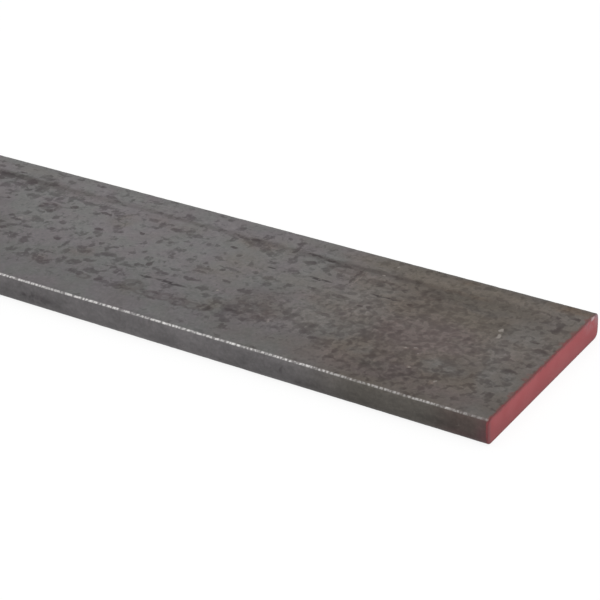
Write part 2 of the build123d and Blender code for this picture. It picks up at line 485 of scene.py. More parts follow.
BLOTCHES = (  # the single dark blotches that stand out
    (163.3, 3.8, 0.8, 0.6), (158, 3.6, 1.7, 0.6), (161.7, 6, 0.9, 0.6), (147.6, 5.4, 1.9, 1.1),
    (144.6, 2.4, 2.2, 0.6), (139.1, 2.6, 0.9, 0.7), (140.5, 4.7, 1.3, 0.7), (132.7, 3.3, 1.1, 0.5),
    (127, 6.8, 1.2, 0.7), (124.4, 4.4, 0.8, 1.3), (121.6, 5.6, 0.5, 1), (144, 7.4, 1, 1.4),
    (144.6, 11.4, 1.8, 1.2), (151.8, 12, 2.3, 0.8), (154.2, 13.8, 0.9, 0.9), (148.2, 13, 1.2, 0.6),
    (151.4, 15.8, 1.4, 0.6), (150.8, 17, 0.6, 0.5), (148.3, 17, 0.7, 0.8), (145.2, 15.3, 0.9, 0.8),
    (143.3, 15.2, 0.7, 1), (139.5, 15.1, 1.1, 1), (140, 12.2, 1.7, 0.7), (137.4, 13.6, 0.8, 1.1),
    (136.2, 15, 1.2, 0.6), (134.7, 12.4, 0.9, 1.5), (132.7, 11, 0.9, 1), (137.1, 17.4, 1.7, 1),
    (139, 18.7, 0.9, 0.8), (135.9, 19.9, 1.1, 0.8), (137, 21.1, 1, 0.6), (129.5, 12.3, 2, 0.8),
    (125.4, 11.9, 1.1, 0.8), (124.8, 13.1, 0.8, 0.9), (124.8, 15.3, 1, 0.6), (120.8, 12.8, 0.9, 0.6),
    (132, 21.7, 0.8, 0.9), (129.1, 23, 1.1, 0.8), (126.6, 25.7, 1.1, 0.7), (125, 24.7, 1.2, 0.6),
    (121.4, 25.5, 0.9, 1.1), (139.9, 23.3, 1, 1.2), (135.5, 25, 1.5, 1.3), (132.7, 24.9, 0.6, 0.6),
    (129.7, 27.2, 0.8, 0.8), (142.2, 26, 1.1, 0.5), (140, 27, 1.4, 0.5), (137.5, 27.8, 0.7, 1.1),
    (138.9, 30, 1, 1.1), (134.9, 28.8, 1, 0.6), (142.6, 29.8, 0.9, 0.6), (132.3, 31.6, 0.9, 0.7),
    (121.8, 31.4, 0.4, 1.8), (135.9, 34, 1.8, 1.3), (131.9, 33.8, 1, 1), (131.1, 35, 1.3, 0.7),
    (123.6, 36.7, 2.3, 0.5), (131.1, 39.5, 1.4, 0.8), (127.6, 37.8, 0.9, 1.2), (127, 40.3, 1.6, 0.9),
    (124.8, 38.8, 0.9, 0.9), (122.8, 40.3, 1.6, 1), (120.6, 41, 1.2, 1), (120.3, 12.6, 1.2, 0.8),
    (119, 13.9, 0.9, 0.7), (118.2, 16.2, 1.2, 1.4), (115.9, 19, 1.4, 1.5), (114.6, 20.6, 1, 0.9),
    (118.4, 23.4, 1.2, 0.9), (117.6, 24.6, 0.7, 0.8), (118.4, 26.4, 0.9, 0.6), (110.1, 11.9, 1.1, 0.9),
    (107.1, 13, 1, 1.3), (108.5, 14.9, 1.3, 0.7), (105.5, 11.9, 0.9, 0.6), (102.5, 13.3, 1.4, 0.9),
    (99.3, 12.8, 0.8, 1.1), (96.4, 13.7, 1.2, 0.8), (98, 15, 1.1, 0.4), (91.8, 15.5, 0.9, 0.8),
    (89.9, 14.9, 0.6, 0.6), (102.2, 18.2, 1.2, 0.6), (103.1, 19.9, 0.5, 1.1), (100.3, 19, 1.1, 0.8),
    (97.2, 16.9, 0.7, 0.7), (95.6, 18.1, 0.6, 0.7), (96.2, 20.9, 1.4, 1), (105.7, 22.3, 0.6, 0.8),
    (113.5, 23.8, 0.9, 0.9), (107.1, 24.6, 0.5, 0.5), (109.3, 26, 0.5, 0.5), (111.7, 28.3, 0.9, 0.7),
    (110.7, 27.3, 0.9, 0.6), (114.3, 27.2, 0.6, 0.6), (103.1, 25.8, 0.6, 0.7), (105.3, 27.4, 1.3, 0.5),
    (97.3, 23.4, 0.9, 1), (96.4, 24.9, 0.9, 0.8), (100.5, 28, 0.9, 1.1), (96, 28, 0.5, 0.8),
    (91.2, 23, 0.6, 1.6), (115.8, 29.2, 0.8, 0.7), (117.2, 31, 1, 0.8), (115.4, 32.4, 1.6, 1),
    (110.3, 31, 1.5, 0.8), (108.4, 30.8, 1.3, 0.7), (106.1, 31.6, 1.1, 1.1), (111.7, 32.2, 0.8, 0.8),
    (102.4, 33, 1.6, 0.6), (100.5, 31.6, 1.2, 0.8), (93, 32.4, 1.3, 0.9), (95.2, 31.3, 1.3, 0.5),
    (90.2, 31.4, 0.8, 0.8), (86.2, 31.4, 1.9, 0.7), (89, 36.6, 1.4, 0.9), (107.1, 35.4, 1, 0.5),
    (104.9, 35.4, 0.5, 0.9), (102.9, 36.4, 0.7, 1.1), (101.1, 37.2, 0.6, 0.6), (111.7, 35.4, 1.4, 0.8),
    (119.4, 35, 0.6, 1.4), (118, 38, 0.9, 1.7), (114.8, 37.6, 1.3, 1.2), (108.3, 39.1, 2, 0.9),
    (101.3, 41.7, 2.5, 0.9), (111.5, 41.3, 2.3, 0.8), (75, 40.8, 0.9, 0.9), (71, 42.1, 1.4, 0.6),
    (69, 43.2, 1, 0.8), (67.9, 45.3, 1.1, 1), (88.2, 10.7, 0.8, 1), (86.5, 9, 1.2, 0.6),
    (82.2, 10, 2, 0.9), (79, 11.3, 1.2, 1.1), (76.2, 12.6, 1.7, 0.8), (74.3, 15.9, 1, 0.6),
    (76.7, 4, 0.7, 0.7), (81.9, 6, 1.1, 1.1), (89.6, 5.6, 1.2, 1.3), (94.2, 3.2, 1.3, 0.6),
    (97, 5, 0.6, 0.5), (97.4, 2.2, 1.2, 0.4), (103.5, 6.4, 1.6, 1), (115.6, 4, 1.3, 0.9),
    (66.8, 11.9, 1.3, 0.9), (61.6, 12.8, 1.1, 0.8), (70.7, 12.5, 0.9, 1.3), (67.3, 17.3, 1.4, 0.9),
    (65.2, 23.3, 0.9, 1.2), (70.6, 22.4, 1.4, 1), (85.6, 19.9, 1.1, 1.2), (82.7, 16.5, 0.6, 0.6),
    (78, 18.9, 0.8, 0.9), (90.4, 19.9, 0.7, 0.5), (87.8, 23.6, 0.6, 0.6), (80.6, 23.1, 2.4, 0.5),
    (82.3, 24.1, 0.6, 0.6), (77.5, 25.2, 0.6, 0.5), (78.7, 28.2, 1, 0.6), (74.9, 21.7, 0.6, 0.8),
    (86.6, 25.4, 1.5, 0.8), (86.2, 27.4, 1.5, 0.5), (72.5, 30.2, 1.6, 1), (91.4, 29.4, 0.9, 0.7),
    (81, 33.4, 1.5, 0.9), (78.7, 35.8, 1.1, 1), (75.3, 36.5, 0.9, 1.3), (72.6, 8, 0.5, 1.6),
    (69.9, 24.6, 0.9, 0.9), (59.4, 9.2, 2, 0.7), (59.8, 21.8, 1.1, 0.8), (57.8, 13.4, 0.9, 0.9),
    (54, 12.4, 0.32, 3.8), (54.8, 18.2, 1, 0.9), (52, 21.8, 2.2, 0.6), (52, 30.2, 1.6, 0.6),
    (53, 36.5, 0.9, 1.3), (50.5, 35.5, 0.8, 0.8), (50.5, 38.5, 1.5, 1.2), (48.5, 23, 0.9, 0.6),
    (46.8, 25.8, 0.7, 1), (48.1, 28.2, 0.7, 0.5), (48, 40, 1.1, 0.6), (43.8, 41, 1, 1.1),
    (40, 37.5, 0.7, 1.6), (39.5, 33, 1.6, 1.2), (37.5, 34.5, 1, 1), (36.5, 17.6, 0.9, 0.6),
    (18, 34.8, 1.8, 1.1), (18.9, 38.4, 0.6, 0.8), (17, 41.6, 1, 0.6), (14.5, 28, 0.9, 1),
    (6.2, 6.9, 0.5, 0.5), (4.4, 9.6, 0.6, 0.9), (4.1, 12.2, 0.9, 1.2), (7.8, 12.8, 0.7, 0.8),
    (6.3, 18.8, 0.9, 0.6), (2.6, 19, 1.1, 0.8), (2.9, 21.7, 1.8, 1.2), (5.3, 23.8, 0.6, 0.5),
    (2.6, 27.8, 0.6, 0.9), (7.8, 27.4, 0.7, 1.1), (11.6, 25.8, 1.2, 0.9), (11.5, 30, 0.6, 1.2),
    (5.2, 31.8, 1.6, 1), (8.6, 32.6, 0.7, 0.9), (4.6, 35.2, 0.9, 1.3), (7.5, 37.5, 1.6, 0.7),
    (9.5, 40.8, 1.5, 1), (6.5, 42.3, 1, 0.7), (4.4, 41.8, 0.7, 0.8),
)
DARKEST = (  # and the darkest places of all
    (156.8, 9.2, 3.6, 1.3), (158, 11, 1.4, 1.2), (149, 9.8, 1.4, 1.1), (154.4, 6.4, 0.9, 0.5),
    (149, 19, 0.5, 0.5), (131.5, 15.3, 1.1, 1.1), (125, 30.4, 1, 0.9), (140.4, 31.8, 0.9, 0.6),
    (122.2, 14.6, 1.7, 0.6), (119.2, 21.7, 1.3, 0.6), (109.1, 18.7, 0.9, 0.7), (98.4, 29.8, 0.6, 1.4),
    (104.5, 41.4, 0.9, 0.9), (86, 14.1, 1.1, 0.8), (66, 11.4, 1, 0.8), (70.6, 38.6, 1.1, 0.7),
    (83.6, 8.4, 0.9, 0.6), (67.3, 8.1, 2.2, 0.45), (62.6, 8.8, 1.5, 0.7), (46.3, 23.2, 0.8, 0.5),
    (44.5, 22.9, 0.7, 0.5), (73.1, 5, 0.9, 1.3), (2.6, 5.7, 1.3, 0.7), (36.9, 17.6, 1, 0.5),
    (4.3, 11.6, 0.8, 1.7), (2.9, 21.3, 1.6, 0.8), (2.6, 27.8, 0.6, 0.9), (5.2, 31.8, 1.3, 0.8),
    (5.8, 18.8, 0.8, 0.4),
)
FAINT = (  # large grey-brown stains with scalloped outlines
    (96.1, 40, 2.3, 1.9), (92.6, 41.5, 1.6, 1), (89.4, 41.4, 1.9, 1.3), (86.5, 41, 1.7, 1.2),
    (82.4, 41.2, 2, 1.3), (79, 41.2, 1.9, 1.2), (76, 40.8, 1.2, 1.1), (108.3, 42.1, 1.4, 0.9),
    (137, 18, 2.4, 1.6), (34.6, 11.6, 2.2, 1.6), (57.5, 10.6, 4, 1.2), (46, 12.4, 3.6, 1.2),
)
SCORES = (  # short black scores along the bar
    (95.6, 35.3, 2, 0.6), (89, 35.1, 5.2, 0.7), (60.4, 17.4, 4, 0.6), (45, 17.5, 2.2, 0.4),
    (41.8, 17.4, 2.2, 0.4), (72.9, 18.1, 1.4, 0.34), (111.1, 1.7, 1, 0.3),
)
PALE_LINES = (  # and pale scratches
    (53, 12.6, 0.24, 4.4), (60.6, 38.6, 0.3, 0.7), (139.6, 26.2, 0.6, 0.5), (28.4, 34, 0.9, 0.4),
    (26.5, 33.2, 0.9, 0.6), (24.1, 40.3, 1.1, 0.7), (32, 41.8, 0.8, 0.5), (16.8, 43.6, 0.5, 1.2),
)
NICKS = (  # small bright nicks through the scale
    (14.5, 17.7, 0.6, 0.95), (13.7, 20.3, 0.6, 1), (16.5, 42.8, 0.4, 0.5), (77.7, 32.7, 0.5, 0.5),
    (28.6, 33.8, 0.5, 0.25), (26.8, 33, 0.5, 0.3), (24, 40.4, 0.5, 0.4), (25.2, 34.8, 0.3, 0.4),
    (47.7, 3.9, 0.45, 0.55), (48.9, 8.8, 0.5, 0.3), (60.2, 38.9, 0.3, 0.4),
)

# On the painted end: (from the far edge, below the upper face, reach across, reach down)
# Painted highlight: a pale spot where the rounded upper rim of the paint catches the light, near the far
# corner
RIM_GLINTS = ((2.9, 0.5, 0.9, 0.4),)
# On the near narrow edge: (behind the painted end, below the upper face, reach along, reach down, how much)
SMUDGES = (
    (115.5, 3.6, 8, 1.8, 0.75), (120.4, 3.3, 1.2, 0.7, 0.5), (118.2, 3.5, 0.7, 0.6, 0.4),
    (116, 3.3, 1.6, 0.8, 0.6), (49.5, 2.9, 0.5, 1.6, 0.6), (45.5, 4.4, 1.6, 0.9, 0.5),
    (40, 4, 5, 1.6, 0.35), (12, 3.6, 6, 1.2, 0.3),
)


def on_face(nodes, place):
    """Place as (behind the painted end, from the far edge, above the upper face), for the lists above."""
    offset = (HALF_LENGTH / MM, HALF_WIDTH / MM, -THICKNESS / MM)
    return nodes.vector("MULTIPLY_ADD", place, (-1.0, -1.0, 1.0), offset)


def oval_distance(nodes, where, along, across, reach_along, reach_across):
    """How far a place is from the middle of an oval on the upper face, 1 on its outline."""
    size = (1 / reach_along, 1 / reach_across, 1 / OVAL_DEPTH)
    middle = (-along * size[0], -across * size[1], 0.0)
    return nodes.vector("LENGTH", nodes.vector("MULTIPLY_ADD", where, size, middle), output="Value")


def nearest(nodes, where, listed, outlines=False):
    """The smallest distance to any oval of a list, or to any of their outlines."""
    def smallest(inside, place):
        result = FAR_AWAY
        for oval in listed[:GROUPED]:
            distance = oval_distance(inside, place, *oval)
            if outlines:
                distance = inside.apart(distance, 1.0)
            result = inside.smallest(result, distance)
        return result
    result = nodes.grouped("ovals", where, smallest)
    if len(listed) > GROUPED:
        result = nodes.smallest(result, nearest(nodes, where, listed[GROUPED:], outlines))
    return result


def spots(nodes, where, listed):
    """The sum of soft oval spots."""
    def added(inside, place):
        result = 0.0
        for *oval, amount in listed:
            distance = oval_distance(inside, place, *oval)
            result = inside.total(result, inside.rise(distance, 1.0, 0.2, 0.0, amount))
        return result
    return nodes.grouped("spots", where, added)


class Scale:
    """The patterns of the mill scale at a place on the bar, as outputs from 0 to 1."""

    def __init__(self, nodes, place, normal):
        self.nodes = nodes
        self.place = place
        self.where = on_face(nodes, place)
        swayed = nodes.wandered(self.where, 9, (5.0, 2.0, 0.0), seed=1, detail=2.0)
        frayed = nodes.wandered(self.where, 1.5, (1.15, 0.85, 0.0), seed=6, detail=3.0)
        swept = nodes.wandered(self.where, 1.8, (0.45, 0.35, 0.0), seed=37, detail=3.0)
        facing_x, self.facing_y, facing_z = nodes.parts(normal)
        facing_x = nodes.math("ABSOLUTE", facing_x)
        facing_z = nodes.math("ABSOLUTE", facing_z)
        self.on_wide = nodes.rise(facing_z, 0.6, 0.98)
        self.on_end = nodes.rise(facing_x, 0.6, 0.9)
        self.arris = nodes.product(nodes.rise(facing_z, 0.93, 0.86), nodes.rise(facing_z, 0.68, 0.75))
        # Painted shade: the far rounded corner of the upper face, where it turns away from the light
        on_corner = nodes.rise(facing_z, 0.998, 0.93)
        self.far_corner_painted_shade = nodes.product(on_corner, nodes.rise(self.facing_y, 0.0, 0.2))
        self.browned = self.find_browned(swayed)
        self.tone = self.find_tone(swayed)
        self.crowd = self.find_crowd(swayed)
        self.darkest = nodes.rise(nearest(nodes, frayed, DARKEST), 1.3, 0.5)
        loops = nodes.rise(nearest(nodes, swept, FAINT, outlines=True), 0.55, 0.15)
        filled = nodes.rise(nearest(nodes, swept, FAINT), 1.20, 0.80, 0.0, 0.25)
        self.stained = nodes.largest(loops, filled)
        height = self.find_blotches(frayed)
        self.blotches = nodes.rise(height, 0.74, 1.04)
        self.cores = nodes.rise(height, 1.00, 1.30)
        self.rims = nodes.product(nodes.rise(height, 0.62, 0.74), nodes.rise(height, 0.84, 0.76))
        self.seam = self.find_seam()
        self.scores = self.find_scores()
        self.veins, self.hearts = self.find_rings()
        self.smudged = self.find_smudged(swayed)
        self.pale = nodes.rise(nearest(nodes, frayed, PALE_LINES), 1.1, 0.6)
        self.nicks = self.find_nicks()
        self.tints = [spots(nodes, swayed, listed) for listed in (REDDENED, GREYED, RUSTED, ORANGE)]

    def find_tone(self, where):
        """Lightness of the ground against its usual one, listed and wandering."""
        nodes = self.nodes
        wandering = nodes.noise(self.place, 3, seed=31)
        contrast = nodes.between(self.browned, 0.25, 0.42)
        centred = nodes.minus(wandering, 0.5)
        return nodes.total(1.0, spots(nodes, where, TONED), nodes.product(centred, contrast))

    def find_browned(self, where):
        """How brown the scale is: as listed, and in random stretches of the bar past the lists."""
        nodes = self.nodes
        wandering = nodes.noise(self.place, 22, seed=2, stretch=(0.3, 1.0, 1.0))
        along = nodes.parts(where)[0]
        wild = nodes.product(nodes.rise(wandering, 0.52, 0.70), nodes.rise(along, *PAST_LISTS))
        local = spots(nodes, where, BROWNED)
        ragged = nodes.noise(self.place, 7, seed=3, detail=3.0)
        return nodes.rise(nodes.total(local, wild, nodes.swing(ragged, 0.8)), -0.2, 1.2)

    def find_crowd(self, where):
        """How much of the scale the blotches take, from 0 to about 1."""
        nodes = self.nodes
        banded = nodes.noise(self.place, 9, seed=4, detail=1.0, stretch=(0.25, 1.0, 1.0))
        crowd = nodes.total(0.58, spots(nodes, where, CROWDED), nodes.swing(banded, 0.6))
        crowd = nodes.minus(crowd, spots(nodes, where, CLEARED))
        return nodes.between(self.on_wide, -0.6, crowd)

    def find_blotches(self, where):
        """A frayed height that makes dark blotches where it is over 0.9, crowded or listed or alone."""
        nodes = self.nodes
        bent = nodes.wandered(self.place, 1.6, (0.7, 0.7, 0.7), seed=6)
        coarse = nodes.noise(bent, 1.7, seed=9, detail=3.0, roughness=0.60)
        fine = nodes.noise(bent, 1.5, seed=24, detail=1.5)
        grain = nodes.between(nodes.rise(self.browned, 0.4, 0.8), coarse, fine)
        broken = nodes.rise(nodes.noise(self.place, 1.1, seed=36), 0.34, 0.56, 0.45, 1.0)
        placed = nodes.product(nodes.rise(nearest(nodes, where, BLOTCHES), 1.6, 0.5), broken)
        placed = nodes.largest(placed, self.darkest)
        distance, chance = nodes.cells(bent, 2.6, seed=7)
        reach = nodes.rise(nodes.minus(self.crowd, chance), -0.1, 0.8, 0.0, 1.2)
        scattered = nodes.rise(nodes.minus(distance, reach), 0.3, -0.5)
        return nodes.total(
            nodes.product(grain, 1.3),
            nodes.product(self.crowd, 0.14),
            nodes.product(placed, 0.44),
            nodes.product(scattered, 0.11),
        )

    def find_seam(self):
        """A rolling seam along the whole bar, near its far edge, here and there broken."""
        nodes = self.nodes
        along, across, height = nodes.parts(self.where)
        wander = nodes.swing(nodes.noise(self.place, 6, seed=7, stretch=(0.2, 0.0, 0.0)), 1.2)
        offset = nodes.apart(nodes.total(across, wander), SEAM_AT)
        ragged = nodes.noise(self.place, 1.8, seed=8, detail=3.0, stretch=(0.45, 1.0, 1.0))
        width = nodes.rise(ragged, 0.3, 0.7, *SEAM_WIDTHS)
        body = nodes.rise(nodes.math("DIVIDE", offset, width), 1.0, 0.1)
        upper = nodes.rise(height, *UPPER_HALF)
        dark = [(place, SEAM_AT, reach, SEAM_REACH, amount) for place, reach, amount in SEAM_DARK]
        strength = nodes.total(nodes.rise(along, *SEAM_GROWS, 0.05, 0.50), spots(nodes, self.where, dark))
        return nodes.product(body, strength, upper)

    def find_scores(self):
        """Dark scores along the bar, broken into dashes."""
        nodes = self.nodes
        dashed = nodes.noise(self.place, 1.3, seed=5)
        shifted = nodes.wandered(self.where, 3, (0.0, 0.3, 0.0), seed=21)
        inside = nodes.rise(nearest(nodes, shifted, SCORES), 1.1, 0.45)
        return nodes.product(inside, nodes.rise(dashed, 0.34, 0.48, 0.30, 1.0))

    def find_rings(self):
        """Pale rings about dark hearts, close together, where the blotches crowd most."""
        nodes = self.nodes
        bent = nodes.wandered(self.place, 1.6, (0.9, 0.9, 0.9), seed=19)
        distance, chance = nodes.cells(bent, 2.8, seed=12)
        dense = nodes.product(nodes.rise(self.crowd, 0.8, 1.4), nodes.rise(chance, 0.1, 0.6, 0.4, 1.0))
        pale = nodes.product(nodes.rise(distance, 1.0, 1.3), nodes.rise(distance, 1.75, 1.45))
        return nodes.product(pale, dense), nodes.product(nodes.rise(distance, 1.15, 0.65), dense)

    def find_smudged(self, where):
        """Smudges on the near narrow edge."""
        nodes = self.nodes
        along, _, height = nodes.parts(where)
        below = nodes.product(height, -1.0)
        placed = spots(nodes, nodes.add("ShaderNodeCombineXYZ", {0: along, 1: below}), SMUDGES)
        placed = nodes.product(placed, nodes.rise(self.facing_y, -0.3, -0.8))
        crumbled = nodes.noise(self.place, 1.4, seed=27)
        return nodes.product(placed, nodes.rise(crumbled, 0.25, 0.6, 0.5, 1.2))

    def find_nicks(self):
        """Small places where the scale has been knocked off the steel."""
        nodes = self.nodes
        crumbled = nodes.noise(self.place, 0.9, seed=22)
        frayed = nodes.wandered(self.where, 0.8, (0.25, 0.25, 0.0), seed=30)
        inside = nodes.rise(nearest(nodes, frayed, NICKS), 1.5, 0.3)
        return nodes.rise(nodes.math("MULTIPLY_ADD", inside, 0.5, crumbled), 0.68, 1.05)


# ======== relief of the mesh

WAVE_DEPTH = 0.04
BLOTCH_DEPTH = 0.045
SEAM_DEPTH = 0.06
SCORE_DEPTH = 0.10
DENT_DEPTH = 0.04


def add_relief(piece):
    """Sinks the blotches, seam and scores into the skin, and dents its arrises, never outwards."""
    tree = bpy.data.node_groups.new("scale relief", "GeometryNodeTree")
    tree.interface.new_socket("Geometry", in_out="INPUT", socket_type="NodeSocketGeometry")
    tree.interface.new_socket("Geometry", in_out="OUTPUT", socket_type="NodeSocketGeometry")
    nodes = Nodes(tree)
    place = nodes.scaled(nodes.add("GeometryNodeInputPosition"), 1 / MM)
    normal = nodes.add("GeometryNodeInputNormal")
    scale = Scale(nodes, place, normal)
    wave = nodes.noise(place, 14, seed=9, stretch=(0.5, 1.0, 1.0))
    dents = nodes.noise(place, 2.2, seed=10, stretch=(1.0, 0.5, 0.5))
    depth = nodes.total(
        nodes.product(nodes.rise(wave, 0.3, 0.7), scale.on_wide, WAVE_DEPTH),
        nodes.product(scale.blotches, BLOTCH_DEPTH),
        nodes.product(scale.seam, SEAM_DEPTH),
        nodes.product(scale.scores, SCORE_DEPTH),
        nodes.product(nodes.rise(dents, 0.45, 0.75), scale.arris, DENT_DEPTH),
    )
    sunk = nodes.scaled(normal, nodes.product(depth, -MM))
    start = tree.nodes.new("NodeGroupInput")
    moved = nodes.add("GeometryNodeSetPosition", {"Geometry": start.outputs[0], "Offset": sunk})
    nodes.feed(tree.nodes.new("NodeGroupOutput").inputs[0], moved)
    piece.modifiers.new("scale relief", "NODES").node_group = tree


# ======== colours

SCALE_GREEN = srgb(107, 107, 106)
SCALE_PINK = srgb(109, 105, 107)
SCALE_GREY = srgb(103, 100, 97)
SCALE_BROWN = srgb(94, 86, 79)
SCALE_PURPLE = srgb(100, 90, 87)
SCALE_OLIVE = srgb(98, 91, 82)
SCALE_ORANGE = srgb(104, 88, 74)
SIDE_GREY = srgb(104, 101, 102)
SIDE_OLIVE = srgb(90, 86, 81)
SIDE_BROWN = srgb(83, 73, 69)
OVERSPRAY = srgb(97, 69, 71)
BARE_STEEL = srgb(208, 206, 204)
NICK_GREY = srgb(142, 136, 130)
PAINT_RED = srgb(161, 55, 61)
PAINT_LIGHT = srgb(166, 66, 71)
PAINT_WORN = srgb(157, 108, 115)
# painted highlight on the rim of the paint
PAINT_GLINT = srgb(190, 162, 163)
PAINT_STAIN = srgb(107, 64, 61)
CUT_BRIGHT = srgb(150, 149, 147)
CUT_DULL = srgb(112, 106, 101)
WHITE = (1.0, 1.0, 1.0)
# What the blotches, the seam and the rest let through of the ground
BLOTCH_SHADE = (0.66, 0.63, 0.64)
CORE_SHADE = (0.82, 0.80, 0.81)
RIM_SHADE = (1.08, 1.07, 1.07)
DARKEST_SHADE = (0.80, 0.76, 0.77)
STAIN_SHADE = (0.75, 0.71, 0.71)
SEAM_SHADE = (0.50, 0.46, 0.45)
SCORE_SHADE = (0.30, 0.27, 0.28)
VEIN_SHADE = (1.10, 1.09, 1.08)
HEART_SHADE = (0.87, 0.86, 0.86)
PALE_SHADE = (1.35, 1.32, 1.30)
SMUDGE_SHADE = (0.55, 0.53, 0.54)
# Painted shade darkening the far rounded corner of the upper face
PAINTED_CORNER_SHADE = (0.40, 0.37, 0.36)
# Painted shade: the upper face darker towards the near edge
NEAR_EDGE_PAINTED_SHADE = 0.80
FAR_EDGE_SHADE = 0.92
FAR_EDGE_SHADE_AT_END = 0.76
# The same along the rims of the paint, and how far each reaches: partly thin paint, partly painted shade
# where the rounded rims turn from the light
UPPER_RIM_SHADE, UPPER_RIM_REACH = (0.55, 0.76, 0.72), 1.0
LOWER_RIM_SHADE, LOWER_RIM_REACH = (0.70, 0.80, 0.78), 0.7
NEAR_RIM_SHADE, NEAR_RIM_REACH = (0.55, 0.90, 0.85), 2.0
FAR_RIM_SHADE, FAR_RIM_REACH = (0.72, 0.95, 1.10), 1.2
RIM_FULL = 0.2  # where the rims are at their darkest

SCALE_METALLIC = 0.45
SCALE_ROUGHNESS = 0.52
BLOTCH_ROUGHNESS = 0.10  # on top of the scale's
STEEL_ROUGHNESS = 0.33
PAINT_ROUGHNESS = 0.45
SPECULAR_LEVEL = 0.25
# Heights of the bump, in millimetres
BLOTCH_BUMP = -0.015
SEAM_BUMP = -0.03
SCORE_BUMP = -0.06
GRAIN_BUMP = 0.010
SAW_BUMP = 0.05


def varied(nodes, colour, noise, low, high):
    """A colour made darker and lighter by noise."""
    return nodes.scaled(colour, nodes.rise(noise, 0.3, 0.7, low, high))


def side_colour(nodes, scale):
    """The scale of the narrow edges, olive and brown near the painted end, where overspray reddens it, with
    painted shade that darkens them towards their bottom.
    """
    along, _, height = nodes.parts(scale.where)
    side = nodes.mix(nodes.rise(along, *SIDE_OLIVE_FROM), SIDE_GREY, SIDE_OLIVE)
    side = nodes.mix(nodes.rise(along, *SIDE_BROWN_FROM), side, SIDE_BROWN)
    # Painted shade: lighter at the top of the narrow edge, darker at its bottom, by an amount that changes
    # along the bar
    brighter = nodes.rise(along, *SIDE_BRIGHT_FROM, 0.93, 1.12)
    lower = nodes.smallest(brighter, nodes.rise(along, *SIDE_BRIGHT_TO, 0.97, 1.12))
    side = nodes.scaled(side, nodes.rise(height, *SIDE_SHADED_BELOW, lower, 1.20))
    patches = nodes.noise(scale.place, 4, seed=25, detail=3.0, stretch=(0.5, 1.0, 1.0))
    side = varied(nodes, side, patches, 0.88, 1.08)
    mottle = nodes.noise(scale.place, 1.1, seed=28, stretch=(0.6, 1.0, 1.0))
    side = varied(nodes, side, mottle, 0.92, 1.08)
    sprayed = nodes.product(nodes.rise(along, *SIDE_SPRAYED), nodes.rise(height, *SPRAYED_LOWER, 0.55, 1.0))
    drifted = nodes.product(nodes.rise(along, *SIDE_DRIFTED, 0.0, 0.30), nodes.rise(height, *DRIFTED_LOWEST))
    return nodes.mix(nodes.largest(sprayed, drifted), side, OVERSPRAY)


def ground_colour(nodes, scale):
    """The plain mill scale of the wide faces and the narrow edges."""
    place = scale.place
    tint = nodes.noise(place, 9, seed=11)
    ground = nodes.mix(nodes.rise(tint, 0.38, 0.62), SCALE_GREEN, SCALE_PINK)
    ground = nodes.mix(scale.browned, ground, SCALE_BROWN)
    patchy = nodes.rise(nodes.noise(place, 3, seed=13), 0.3, 0.7, 0.4, 1.0)
    for amount, colour in zip(scale.tints, (SCALE_PURPLE, SCALE_GREY, SCALE_OLIVE, SCALE_ORANGE)):
        ground = nodes.mix(nodes.product(amount, patchy), ground, colour)
    return ground


def scale_colour(nodes, scale):
    """The mill scale without its bare places: its ground, shaded by all that lies on it, with painted shade
    on the far corner and towards the near edge.
    """
    place = scale.place
    ground = ground_colour(nodes, scale)
    along, across, _ = nodes.parts(scale.where)
    shaded = nodes.mix(nodes.minus(1.0, scale.on_wide), ground, side_colour(nodes, scale))
    fullness = nodes.rise(nodes.noise(place, 2.5, seed=20), 0.3, 0.7, 0.65, 1.0)
    softest = nodes.rise(nodes.apart(along, SOFTEST_AT), 6, 14, 0.42, 0.12)
    softened = nodes.product(scale.browned, softest, nodes.rise(across, *SOFTENED_TO))
    fullness = nodes.product(fullness, nodes.minus(1.0, softened))
    for amount, shade in (
        (scale.stained, STAIN_SHADE),
        (scale.rims, RIM_SHADE),
        (nodes.product(scale.blotches, fullness), BLOTCH_SHADE),
        (nodes.product(scale.cores, fullness), CORE_SHADE),
        (scale.darkest, DARKEST_SHADE),
        (nodes.smallest(scale.seam, 1.0), SEAM_SHADE),
        (scale.veins, VEIN_SHADE),
        (scale.hearts, HEART_SHADE),
        (scale.scores, SCORE_SHADE),
        (scale.pale, PALE_SHADE),
        (nodes.smallest(scale.smudged, 1.0), SMUDGE_SHADE),
        # painted shade on the far rounded corner
        (scale.far_corner_painted_shade, PAINTED_CORNER_SHADE),
    ):
        shaded = nodes.vector("MULTIPLY", shaded, nodes.mix(amount, WHITE, shade))
    shaded = nodes.scaled(shaded, nodes.between(scale.on_wide, 1.0, scale.tone))
    # painted shade: darker towards the near edge
    shaded = nodes.scaled(shaded, nodes.rise(across, *NEAR_PAINTED_SHADE_FROM, 1.0, NEAR_EDGE_PAINTED_SHADE))
    far_shade = nodes.rise(along, *FAR_EDGE_DARKER, FAR_EDGE_SHADE, FAR_EDGE_SHADE_AT_END)
    shaded = nodes.scaled(shaded, nodes.rise(across, *FAR_EDGE_TO, 1.0, far_shade))
    mottle = nodes.noise(place, 0.9, seed=14, detail=4.0, roughness=0.7)
    return nodes.scaled(shaded, nodes.rise(mottle, 0.25, 0.75, 0.88, 1.12))


